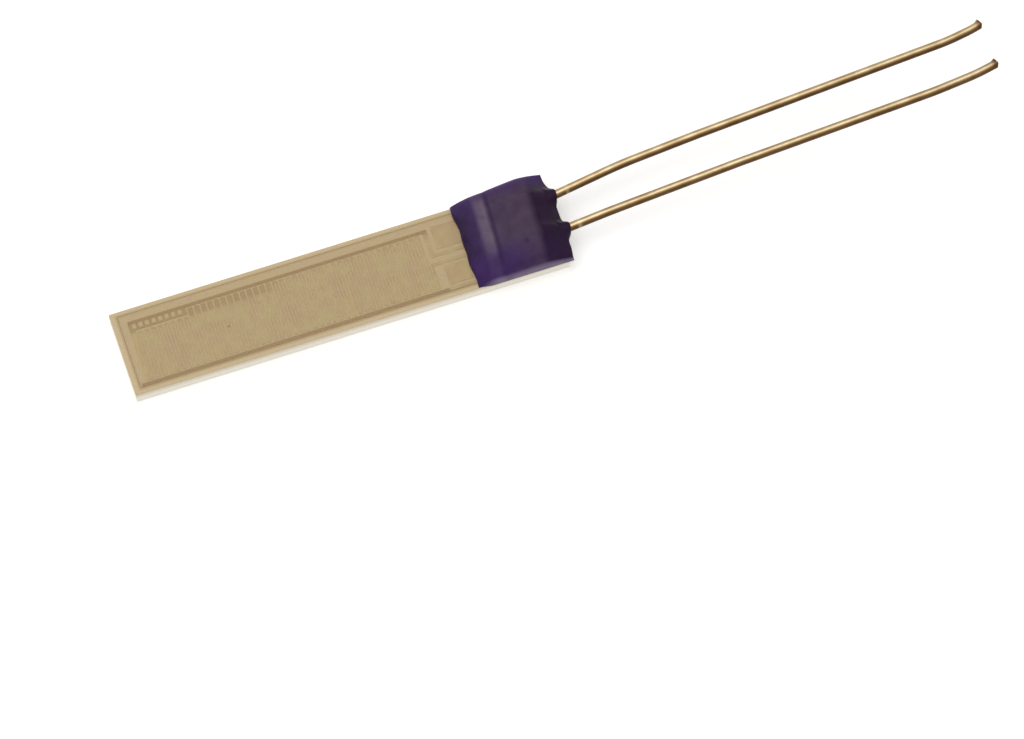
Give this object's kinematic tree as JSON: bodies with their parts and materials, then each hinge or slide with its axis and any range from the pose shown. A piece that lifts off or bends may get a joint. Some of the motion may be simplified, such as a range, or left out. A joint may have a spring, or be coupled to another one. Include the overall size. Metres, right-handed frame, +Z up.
{
  "type": "platinum rtd chip sensor",
  "caption": "Thin film temperature sensor: a flat ceramic chip with a platinum meander under clear glass, and round lead wires held by a violet glazed drop at one end.",
  "frame": {"origin": "centre of the ceramic chip's underside", "axes": "+X along the chip towards the lead wires, +Z up out of the face that carries the platinum film, +Y towards the left lead"},
  "size_m": [0.0204, 0.0024, 0.0011],
  "materials": {
    "ceramic_substrate": "fired alumina, matt",
    "platinum_film": "thin platinum film seen through glass",
    "left_contact_pad": "fired metal print",
    "right_contact_pad": "fired metal print",
    "glass_passivation": "clear amber-tinted glass",
    "left_lead_wire": "drawn wire, pale gold",
    "right_lead_wire": "drawn wire, pale gold",
    "fixing_drop": "fired violet glass, glossy"
  },
  "bodies": {
    "root": {"ceramic_substrate": "ceramic_substrate", "platinum_film": "platinum_film", "left_contact_pad": "left_contact_pad", "right_contact_pad": "right_contact_pad", "glass_passivation": "glass_passivation", "left_lead_wire": "left_lead_wire", "right_lead_wire": "right_lead_wire", "fixing_drop": "fixing_drop"}
  },
  "joints": []
}
